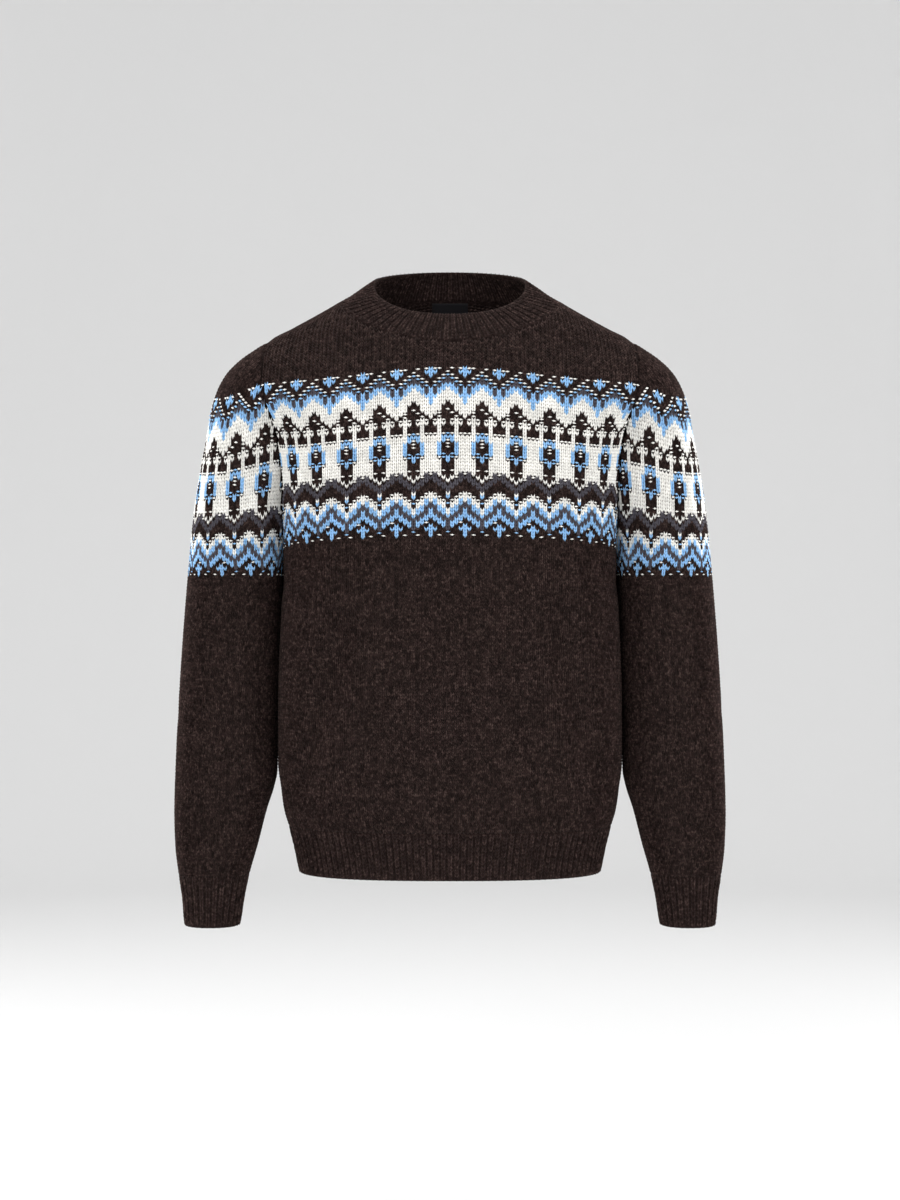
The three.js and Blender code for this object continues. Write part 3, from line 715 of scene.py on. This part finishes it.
# The height of the band's edge by the share of the way from a sheet's middle to its sides.
panelBand = {
    "top": [(0, -63.7), (0.1, -64.6), (0.25, -68.5), (0.4, -73), (0.56, -76.8), (0.8, -80), (1, -85)],
    "bottom": [(0, -250), (0.25, -251), (0.5, -253.9), (0.75, -258.5), (1, -265)],
}
frontPanelSize = {
    "wale": 4.65, "bandTop": panelBand["top"], "bandBottom": panelBand["bottom"], "stretch": 0.09,
    "axisWale": -1, "seed": 11, "ahead": 1.6, "flat": (0.53, 0.60), "area": 0.291,
}


# The stitches of a sheet. Wales keep their distance from the sheet's centre line and are cut at its seams.
# Under squeezeZ they draw in with the cloth. A drift turns them all round a sleeve toward its front. Rows
# follow the wales, as many in the band as the chart has.
def knitLattice(surface, size, low, high, squeezeZ, sign=None, way=1):
    heights = np.arange(low, high + 0.1, 2.5)
    shares = np.linspace(-1, 1, 241)
    middle = len(shares) // 2
    grid = surface(shares[None, :], heights[:, None])
    steps = np.linalg.norm(np.diff(grid, axis=1), axis=2)
    arcs = np.concatenate([np.zeros((len(heights), 1)), np.cumsum(steps, 1)], 1)
    arcs -= arcs[:, [middle]]
    edge = np.minimum(-arcs[:, 0], arcs[:, -1])
    fullEdge = edge[np.argmin(np.abs(heights - squeezeZ))]
    half = int(round(np.max(edge[heights >= squeezeZ - 1]) / size["wale"]))
    squeeze = np.where(heights < squeezeZ, edge / fullEdge, 1)
    drift = np.interp(heights, *zip(*size.get("drift", [(0, 0)])))
    wales = np.arange(-half, half + math.ceil(np.max(drift) / size["wale"]))
    places = (wales + 0.5) * size["wale"]
    path = np.zeros((len(wales), len(heights), 3))
    across = np.zeros_like(path)
    for i, squash in enumerate(squeeze):
        for axis in range(3):
            line = places * squash - drift[i]
            path[:, i, axis] = np.interp(line, arcs[i], grid[i, :, axis])
            after = np.interp(line + 1, arcs[i], grid[i, :, axis])
            across[:, i, axis] = after - np.interp(line - 1, arcs[i], grid[i, :, axis])
    made = {}
    random = np.random.default_rng(size["seed"])
    bandRows = len(chart)

    def bandEnds(k):
        share = min(1, abs(places[k]) / fullEdge)
        return [np.interp(share, *zip(*size[name])) for name in ("bandTop", "bandBottom")]

    def lengthsOf(k):
        pieces = np.linalg.norm(np.diff(path[k], axis=0), axis=1)
        return np.concatenate([[0], np.cumsum(pieces)])

    middleTop, middleBottom = (np.interp(z, heights, lengthsOf(half)) for z in bandEnds(half))
    below = int(round(middleBottom / stitch["row"]))
    for k, wale in enumerate(wales):
        lengths = lengthsOf(k)
        top, bottom = (np.interp(z, heights, lengths) for z in bandEnds(k))
        step = (top - bottom) / bandRows
        above = max(0, int((lengths[-1] - top) / step))
        down = np.linspace(1, 0, bandRows + 1)
        inBand = top - (top - bottom) * (down + size["stretch"] * down * (1 - down))
        overBand = top + step * np.arange(1, above + 1)
        ends = np.concatenate([np.linspace(0, bottom, below + 1)[:-1], inBand, overBand])
        spots, tall = (ends[1:] + ends[:-1]) / 2, np.diff(ends)
        z = np.interp(spots, lengths, heights)
        squash = np.interp(z, heights, squeeze)
        margin = size["wale"] * stitch["seamMargin"] * squash

        def along(shift):
            return np.stack([np.interp(spots + shift, lengths, path[k, :, i]) for i in range(3)], 1)

        def onSheet(shift):
            level = np.interp(spots + shift, lengths, heights)
            distance = places[k] * squash - np.interp(level, heights, drift)
            left, right = np.interp(level, heights, arcs[:, 0]), np.interp(level, heights, arcs[:, -1])
            inside = (distance - margin > left) & (distance + margin < right) & (spots + shift < lengths[-1])
            if sign is not None:
                x = along(shift)[:, 0]
                inside &= level < neckZ(x, sign) - neck["stitchGap"]
                inside &= (np.abs(x) < neck["halfWidth"]) | (level < neck["shoulderZ"] - 0.5)
            return inside

        point = along(0)
        kept = onSheet(0) & onSheet(size["ahead"])
        up = unit(along(1.5) - along(-1.5))
        side = np.stack([np.interp(spots, lengths, across[k, :, i]) for i in range(3)], 1)
        out = unit(np.cross(side, up)) * (way if sign is None else -sign)
        column = (wale - size["axisWale"] + 4) % 8
        for r in np.flatnonzero(kept):
            chartRow = below + bandRows - 1 - r
            letter = chart[chartRow][column] if 0 <= chartRow < bandRows else "B"
            fit = (squash[r] * size["wale"] / stitch["wale"], tall[r] / stitch["row"], 1.0)
            kinds = [(0, chartYarn[letter], 1)]
            if letter in fleckYarn:
                kinds.append((1, fleckYarn[letter], 1))
            if z[r] > size.get("insideZ", math.inf):
                kinds.append((1, brown, -1))
            for kind, yarn, facing in kinds:
                inside = out[r] * (body["wall"] - stitch["insideSunk"])
                record(made, point=point[r] if facing > 0 else point[r] - inside, out=out[r] * facing,
                       up=up[r], fit=fit, cell=(k, r, 0), kind=kind, yarn=yarn, shade=random.random(),
                       band=r >= below)
    made = {key: np.array(values) for key, values in made.items()}
    return made, len(wales), below


def part(made, chosen, rowStart):
    picked = {key: values[chosen] for key, values in made.items()}
    picked["cell"] = picked["cell"] - [0, rowStart, 0]
    return picked


# Knits a sheet in two pieces, the plain part under the band and the yoke with the band.
def knitSheet(name, surface, size, low, high, squeezeZ, sign=None, way=1):
    made, columns, below = knitLattice(surface, size, low, high, squeezeZ, sign, way)
    band = made["band"]
    rowsAbove = int(made["cell"][:, 1].max()) + 1 - below
    plain = knit(name + "_plain_stitches", part(made, ~band, 0), plainWool, stitch, [columns, below])
    yoke = knit(name + "_band_stitches", part(made, band, below), patternWool, stitch, [columns, rowsAbove])
    for piece in (plain, yoke):
        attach(piece, "root")
    return [plain, yoke]


panelGrid = {"neckColumns": 27, "ridgeColumns": 12, "yokeEndZ": -84.0, "yokeRows": 24, "rowStep": 6.0}


def panelWall(name, sign):
    count = panelGrid["neckColumns"] + panelGrid["ridgeColumns"]

    def neckCurve(angles):
        return bodyPoint(angles, neckHeight(angles, sign), sign)

    neckAngles = evenAngles(neckCurve, panelGrid["neckColumns"])
    topAngle = np.concatenate([neckAngles, np.zeros(panelGrid["ridgeColumns"])])
    ridge = np.linspace(neck["shoulderZ"], body["tipZ"], panelGrid["ridgeColumns"] + 1)[1:]
    topZ = np.concatenate([neckHeight(neckAngles, sign), ridge])
    share = np.linspace(0, 1, count + 1)
    endZ = panelGrid["yokeEndZ"]
    angles, levels = [], []
    for way in np.linspace(0, 1, panelGrid["yokeRows"]) ** 1.4:
        turn = seamAngle(mix(body["tipZ"], endZ, way), sign) / seamAngle(endZ, sign)
        level = mix(math.pi / 2, seamAngle(endZ, sign), share)
        angles.append(mix(topAngle, level, mix(way, turn, share ** 2)))
        levels.append(mix(topZ, endZ, way))
    for z in np.linspace(endZ, body["hemTopZ"], int((endZ - body["hemTopZ"]) / panelGrid["rowStep"]))[1:]:
        angles.append(mix(math.pi / 2, seamAngle(z, sign), share))
        levels.append(np.full(count + 1, z))
    angles, levels = np.array(angles), np.array(levels)
    angles = np.concatenate([angles[:, :0:-1], angles], 1)
    levels = np.concatenate([levels[:, :0:-1], levels], 1)
    ways = np.concatenate([-np.ones(count), np.ones(count + 1)])[None, :]
    outer = panelAt(angles, ways, levels, sign, -body["wallDrop"])
    inner = panelAt(angles, ways, levels, sign, -body["wall"])
    return addObject(name, wallMesh(name, outer, inner, turned=sign > 0), paintedShadeWool)


def finishSheet(piece, node):
    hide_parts(node)
    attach(piece, "root")


frontWall = panelWall("front_cloth", front)
frontStitches = knitSheet("front", panelSurface(front), frontPanelSize, body["hemTopZ"], 33.0, -265.0, front)
finishSheet(frontWall, "front_panel")

backPanelSize = {**frontPanelSize, "seed": 12, "insideZ": -40, "flat": (0.53, 0.64), "area": 0.293}
backWall = panelWall("back_cloth", back)
backStitches = knitSheet("back", panelSurface(back), backPanelSize, body["hemTopZ"], 33.0, -265.0, back)
finishSheet(backWall, "back_panel")
print("panels made")

sleeveSize = {
    "wale": 4.05, "bandTop": [(0, -88), (0.15, -90), (0.3, -92.5), (0.45, -91.5), (0.65, -80), (1, -74)],
    "bandBottom": [(0, -292), (1, -292)], "stretch": 0.2, "columns": 48, "rows": 100, "squeezeZ": -560.0,
    "drift": [(-560, 0), (-290, 24), (-195, 9.5), (-130, 0), (-92, 4)], "ahead": 0.8, "flat": (0.42, 0.62),
    "area": 0.19,
}


def sleeveWall(name, way):
    surface = sleeveSurface(way)
    shares = np.linspace(-1, 1, sleeveSize["columns"] + 1)[None, :]
    capRows = body["tipZ"] - (body["tipZ"] - body["underarmZ"]) * np.linspace(0.0015, 1, 44) ** 1.3
    armRows = np.linspace(body["underarmZ"], body["cuffTopZ"], sleeveSize["rows"] - 43)[1:]
    heights = np.concatenate([capRows, armRows])[:, None]
    outer = surface(shares, heights, -body["wallDrop"])
    inner = surface(shares, heights, -body["wall"])
    return addObject(name, wallMesh(name, outer, inner, turned=way < 0), paintedShadeWool)


sleeves = {}
for side, way in (("left", 1), ("right", -1)):
    size = {**sleeveSize, "seed": 20 + way, "axisWale": -2 if way > 0 else -6}
    wall = sleeveWall(f"sleeve_{side}_cloth", way)
    stitches = knitSheet(f"sleeve_{side}", sleeveSurface(way), size, body["cuffTopZ"], body["tipZ"] - 0.5,
                         size["squeezeZ"], None, way)
    finishSheet(wall, f"sleeve_{side}")
    sleeves[side] = wall
print("sleeves made")


# A full ring from two quarter curves at equal steps, counter-clockwise from above from the right-hand side.
def evenRing(curve, perQuarter):
    def quarter(sign, way):
        points = curve(evenAngles(lambda a: curve(a, sign), perQuarter), sign)
        return points * [way, 1, 1]
    quarters = [quarter(back, 1)[::-1], quarter(back, -1), quarter(front, -1)[::-1], quarter(front, 1)]
    return np.concatenate([points[:-1] for points in quarters])


# A ribbed band over a grid of rings. Its ribs stand up outside and in, with a wale of stitches on each.
def ribbedBand(name, node, rings, size, level=False):
    rows, columns = rings.shape[:2]
    ahead, behind = np.roll(rings, -1, 1), np.roll(rings, 1, 1)
    normals = unit(np.cross(ahead - behind, -np.gradient(rings, axis=0)))
    if level:
        normals[..., 2] = 0
        normals = unit(normals)
    phase = np.arange(columns) / size["columnsPerRib"] * 2 * math.pi
    fromEnd = np.minimum(np.arange(rows), np.arange(rows)[::-1])
    taper = np.minimum(1, 0.3 + 0.35 * fromEnd)
    wave = np.cos(phase)[None, :, None] * size["rise"] * taper[:, None, None]
    outer = rings + normals * (wave - 0.1)
    inner = rings - normals * (body["wall"] - size["rise"] * 0.4 - wave * 0.4)
    piece = addObject(name, wallMesh(name, outer, inner, ring=True, turned=size["turned"], rims=3), paintedShadeRibWool)
    wide = np.linalg.norm(ahead - behind, axis=2) / 2 * size["columnsPerRib"]
    made = {}
    random = np.random.default_rng(size["seed"])
    ribs = columns // size["columnsPerRib"]
    mostRows = 0
    layers = [(0, outer, 1)] + ([(size["columnsPerRib"] // 2, inner, -1)] if size["inside"] else [])
    for shift, layer, facing in layers:
        for rib in range(ribs):
            c = rib * size["columnsPerRib"] + shift
            line = layer[:, c]
            lengths = np.concatenate([[0], np.cumsum(np.linalg.norm(np.diff(line, axis=0), axis=1))])
            count = int(round(lengths[-1] / size["rowHeight"]))
            mostRows = max(mostRows, count)
            tall = (lengths[-1] - 2 * size["endMargin"]) / count
            spots = size["endMargin"] + (np.arange(count) + 0.5) * tall

            def along(values):
                return np.stack([np.interp(spots, lengths, values[:, i]) for i in range(values.shape[1])], 1)

            point, out = along(line), along(normals[:, c]) * facing
            down = along(unit(np.stack([np.gradient(line[:, i], lengths) for i in range(3)], 1)))
            width = along(wide[:, [c]])[:, 0]
            for r in range(count):
                fit = (width[r] * size["ribShare"] / stitch["wale"], tall / stitch["row"], 1.0)
                record(made, point=point[r] - out[r] * stitch["ribSunk"], out=out[r], up=-down[r], fit=fit,
                       cell=(rib + (ribs if facing < 0 else 0), r, 0), kind=0, yarn=brown,
                       shade=random.random())
    made = {key: np.array(values) for key, values in made.items()}
    grid = [ribs * len(layers), mostRows]
    stitches = knit(name.replace("_cloth", "_stitches"), made, ribWool, stitch, grid)
    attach(stitches, "root")
    finishSheet(piece, node)


neckbandSize = {
    "ribs": 90, "columnsPerRib": 6, "rise": 0.9, "rowHeight": 3.9, "endMargin": 0.8, "ribShare": 0.64,
    "inside": True, "turned": True, "seed": 31, "flat": (0.64, 0.05), "bulge": 1.0, "ringCount": 12,
}


def collarPoint(angle, sign):
    across, out = section(angle, collar["power"])
    drop = -collar["frontDrop"] if sign < 0 else collar["backRise"]
    depth = collar["front"] if sign < 0 else collar["back"]
    return np.stack([collar["halfWidth"] * across, sign * depth * out, collar["sideZ"] + drop * out], -1)


def neckSeamPoint(angle, sign):
    return bodyPoint(angle, neckHeight(angle, sign), sign)


perQuarter = neckbandSize["ribs"] * neckbandSize["columnsPerRib"] // 4
top, seam = evenRing(collarPoint, perQuarter), evenRing(neckSeamPoint, perQuarter)
shares = np.linspace(0, 1, neckbandSize["ringCount"])[:, None, None]
rings = mix(top[None], seam[None] + 0.3 * unit(top - seam)[None], shares)
outwards = unit(rings[0] * [1, 1, 0])
rings = rings + outwards[None] * np.sin(math.pi * shares) * neckbandSize["bulge"]
ribbedBand("neckband_cloth", "neckband", rings, neckbandSize)

hemSize = {
    "ribs": 132, "columnsPerRib": 6, "rise": 0.75, "rowHeight": 3.8, "endMargin": 0.8, "ribShare": 0.64,
    "inside": False, "turned": True, "seed": 32, "flat": (0.95, 0.053), "ringCount": 12,
}
perQuarter = hemSize["ribs"] * hemSize["columnsPerRib"] // 4
heights = np.linspace(body["hemTopZ"] - body["seamGap"], body["hemEndZ"], hemSize["ringCount"])
rings = np.stack([evenRing(lambda a, s, z=z: bodyPoint(a, np.full(np.shape(a), z), s), perQuarter)
                  for z in heights])
ribbedBand("hem_cloth", "hem_rib", rings, hemSize, level=True)

cuffSize = {
    "ribs": 30, "columnsPerRib": 6, "rise": 0.75, "rowHeight": 3.8, "endMargin": 0.8, "ribShare": 0.64,
    "inside": False, "turned": True, "flat": (0.225, 0.057), "ringCount": 13,
}
for side, way in (("left", 1), ("right", -1)):
    columns = cuffSize["ribs"] * cuffSize["columnsPerRib"]
    heights = np.linspace(body["cuffTopZ"] - body["seamGap"], body["cuffEndZ"], cuffSize["ringCount"])
    turns = np.arange(columns) / columns
    rings = sleevePoint(turns[None, :], heights[:, None])
    rings[..., 0] = (rings[..., 0] + body["armholeGap"]) * way
    if way < 0:
        rings = rings[:, ::-1]
    ribbedBand(f"cuff_{side}_cloth", f"cuff_{side}", rings, {**cuffSize, "seed": 40 + way}, level=True)
print("ribbed bands made")

labelSize = {
    "width": 42.0, "topZ": 31.0, "height": 22.0, "thickness": 0.9, "clearance": 0.6, "flat": (0.042, 0.022),
    "columns": 28, "rows": 16,
}


def labelMaterial():
    material = bpy.data.materials.new("woven label")
    material.use_nodes = True
    tree = material.node_tree
    shader = tree.nodes["Principled BSDF"]
    setInputs(shader, {"Roughness": 0.6, "Specular IOR Level": 0.15})
    spot = tree.nodes.new("ShaderNodeTexCoord")
    weave = tree.nodes.new("ShaderNodeTexWave")
    weave.bands_direction = "Z"
    weave.inputs["Scale"].default_value = 500
    linked(tree, spot, "Object", weave, "Vector")
    tone = tree.nodes.new("ShaderNodeMix")
    tone.data_type = "RGBA"
    tone.inputs[6].default_value = (0.004, 0.004, 0.005, 1)
    tone.inputs[7].default_value = (0.012, 0.011, 0.013, 1)
    tree.links.new(weave.outputs["Fac"], tone.inputs["Factor"])
    tree.links.new(tone.outputs[2], shader.inputs["Base Color"])
    relief = tree.nodes.new("ShaderNodeBump")
    setInputs(relief, {"Strength": 0.2, "Distance": 0.0003})
    linked(tree, weave, "Fac", relief, "Height")
    linked(tree, relief, "Normal", shader, "Normal")
    return material


x = np.linspace(-0.5, 0.5, labelSize["columns"] + 1)[None, :] * labelSize["width"]
z = labelSize["topZ"] - np.linspace(0, 1, labelSize["rows"] + 1)[:, None] * labelSize["height"]
x, z = np.broadcast_arrays(x, z)
share = np.abs(x) / at(bodyRows, "side", z)
angle = np.arctan2(rounded(share, body["power"]), share)
points, normals = bodyPoint(angle, z, back), bodyNormal(angle, z, back)
points[..., 0] = x
normals[..., 0] *= np.sign(x)
near = body["wall"] + labelSize["clearance"]
label = addObject("label_cloth", wallMesh(
    "label_cloth", points - normals * near, points - normals * (near + labelSize["thickness"]), turned=True),
    labelMaterial())
finishSheet(label, "neck_label")
print("label made")

studio = {"floorZ": -1.02, "radius": 4.6, "bend": 1.6, "high": 3.4, "segments": 72}


# A round floor that bends up into a wall on all sides.
def sweep():
    arc = np.linspace(0, math.pi / 2, 17)
    bend, count = studio["bend"], studio["segments"]
    reach = np.concatenate([[0.02], studio["radius"] - bend + bend * np.sin(arc), [studio["radius"]]])
    height = np.concatenate([[0], bend - bend * np.cos(arc), [studio["high"]]]) + studio["floorZ"]
    turns = np.arange(count) / count * 2 * math.pi
    points = np.stack([np.outer(reach, np.cos(turns)), np.outer(reach, np.sin(turns)),
                       np.outer(height, np.ones(count))], -1).reshape(-1, 3)
    ids = np.arange(len(points)).reshape(-1, count)
    after = np.roll(ids, -1, 1)
    faces = np.stack([ids[:-1], ids[1:], after[1:], after[:-1]], -1).reshape(-1, 4).tolist()
    faces.append(ids[0].tolist())
    mesh = bpy.data.meshes.new("studio_sweep")
    mesh.from_pydata(points.tolist(), [], faces)
    mesh.polygons.foreach_set("use_smooth", np.ones(len(faces), bool))
    material = bpy.data.materials.new("pale floor")
    material.use_nodes = True
    shader = material.node_tree.nodes["Principled BSDF"]
    setInputs(shader, {"Base Color": (0.76, 0.76, 0.76, 1), "Roughness": 0.9, "Specular IOR Level": 0.1})
    return addObject("studio_sweep", mesh, material)


sweep()


def areaLight(name, place, aim, size, power):
    light = bpy.data.lights.new(name, "AREA")
    light.shape = "RECTANGLE"
    light.size, light.size_y = size
    light.energy = power
    lamp = bpy.data.objects.new(name, light)
    lamp.location = place
    lamp.rotation_euler = (Vector(aim) - Vector(place)).to_track_quat("-Z", "Y").to_euler()
    collection.objects.link(lamp)


areaLight("key", (-1.6, -2.6, 1.5), (0, 0, -0.3), (1.6, 1.6), 36)
areaLight("fill", (1.9, -2.2, 0.6), (0, 0, -0.3), (1.8, 1.8), 24)
areaLight("top", (0, 0.2, 2.2), (0, 0, -0.2), (1.8, 1.4), 25)
for x in (-2.2, 2.2):
    areaLight("side", (x, 0.5, 0.2), (0, 0, -0.3), (1.0, 1.8), 30)
world = bpy.data.worlds.new("studio")
world.use_nodes = True
world.node_tree.nodes["Background"].inputs["Color"].default_value = (1, 1, 1, 1)
world.node_tree.nodes["Background"].inputs["Strength"].default_value = 0.75
bpy.context.scene.world = world
bpy.context.scene.view_settings.view_transform = "Standard"

camera = bpy.data.cameras.new("camera")
camera.sensor_width = 36
camera.lens = 18 / math.tan(math.radians(29.5 / 2))
viewer = bpy.data.objects.new("camera", camera)
viewer.location = (0, -2.6, -0.319)
viewer.rotation_euler = (math.pi / 2, 0, 0)
collection.objects.link(viewer)
bpy.context.scene.camera = viewer
